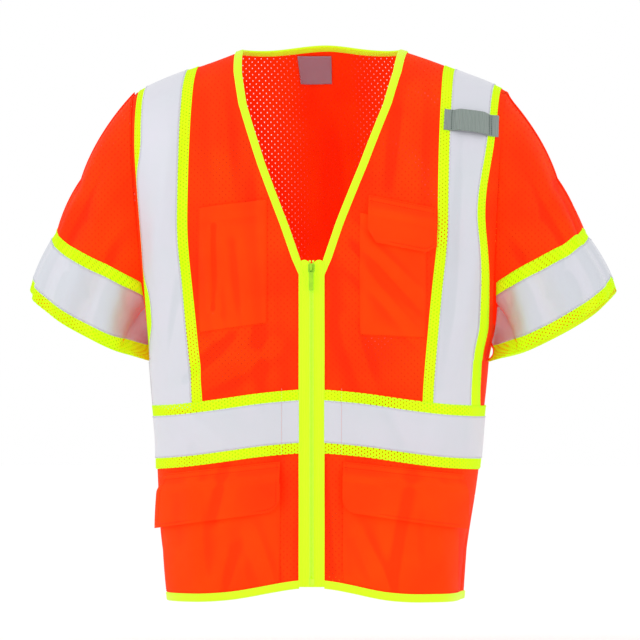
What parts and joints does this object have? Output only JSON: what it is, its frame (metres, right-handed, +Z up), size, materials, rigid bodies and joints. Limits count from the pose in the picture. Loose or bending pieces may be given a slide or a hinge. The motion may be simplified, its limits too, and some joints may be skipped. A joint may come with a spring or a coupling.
{
  "type": "high visibility vest",
  "caption": "Short-sleeved high visibility safety vest with zip front, reflective tapes, chest and hip pockets with flaps, and a microphone tab.",
  "frame": {"origin": "midway between the two neck points of the shoulder seams", "axes": "+Z up, the zip front faces -Y, +X towards the wearer's left sleeve"},
  "size_m": [0.7104, 0.2507, 0.6701],
  "materials": {
    "orange_mesh": "matte",
    "lime_mesh": "matte",
    "reflective_tape": "satin",
    "zip_tape": "matte",
    "webbing": "matte",
    "label": "matte",
    "touch_fastener": "matte",
    "zip_plastic": "satin",
    "zip_metal": "satin"
  },
  "bodies": {
    "vest": {"back_panel": "orange_mesh", "chest_flap_seam": "orange_mesh", "chest_pocket_left": "orange_mesh", "chest_pocket_loop": "touch_fastener", "chest_pocket_right": "orange_mesh", "front_panel_left": "orange_mesh", "front_panel_right": "orange_mesh", "hem_binding": "lime_mesh", "hip_flap_seam_left": "orange_mesh", "hip_flap_seam_right": "orange_mesh", "hip_pocket_left": "orange_mesh", "hip_pocket_loop_left": "touch_fastener", "hip_pocket_loop_right": "touch_fastener", "hip_pocket_right": "orange_mesh", "mic_tab": "webbing", "neck_binding": "lime_mesh", "pen_divider": "orange_mesh", "shoulder_tape_left": "reflective_tape", "shoulder_tape_right": "reflective_tape", "shoulder_trim_left": "lime_mesh", "shoulder_trim_right": "lime_mesh", "size_label": "label", "sleeve_left": "orange_mesh", "sleeve_right": "orange_mesh", "sleeve_tape_left": "reflective_tape", "sleeve_tape_right": "reflective_tape", "sleeve_trim_left": "lime_mesh", "sleeve_trim_right": "lime_mesh", "waist_tape_back": "reflective_tape", "waist_tape_front_left": "reflective_tape", "waist_tape_front_right": "reflective_tape", "waist_trim_back": "lime_mesh", "waist_trim_front_left": "lime_mesh", "waist_trim_front_right": "lime_mesh", "zipper_box": "zip_plastic", "zipper_pin": "zip_plastic", "zipper_stop_left": "zip_plastic", "zipper_stop_right": "zip_plastic", "zipper_tape_left": "zip_tape", "zipper_tape_right": "zip_tape", "zipper_teeth_left": "zip_plastic", "zipper_teeth_right": "zip_plastic"},
    "chest_flap": {"chest_flap": "orange_mesh", "chest_flap_hook": "touch_fastener"},
    "hip_flap_left": {"hip_flap_left": "orange_mesh", "hip_flap_hook_left": "touch_fastener"},
    "hip_flap_right": {"hip_flap_right": "orange_mesh", "hip_flap_hook_right": "touch_fastener"},
    "slider": {"zipper_slider": "zip_metal", "zipper_slider_back": "zip_metal"},
    "pull": {"zipper_pull": "zip_metal"}
  },
  "joints": [
    {"name": "zip_slide", "type": "slide", "parent": "vest", "child": "slider", "axis": [0, 0, -1], "range_m": [0, 0.364]},
    {"name": "pull_swing", "type": "hinge", "parent": "slider", "child": "pull", "pos_m": [0, -0.12324, -0.2605], "axis": [-1, 0, 0], "range_deg": [0, 150]},
    {"name": "chest_flap_lift", "type": "hinge", "parent": "vest", "child": "chest_flap", "pos_m": [0.11615, -0.12413, -0.19029], "axis": [-0.9786, -0.0705, 0.1934], "range_deg": [0, 140]},
    {"name": "hip_flap_lift_left", "type": "hinge", "parent": "vest", "child": "hip_flap_left", "pos_m": [0.1431, -0.12017, -0.51163], "axis": [-0.9477, -0.3018, 0.1038], "range_deg": [0, 120]},
    {"name": "hip_flap_lift_right", "type": "hinge", "parent": "vest", "child": "hip_flap_right", "pos_m": [-0.1431, -0.12017, -0.51163], "axis": [-0.9477, 0.3018, -0.1038], "range_deg": [0, 120]}
  ]
}
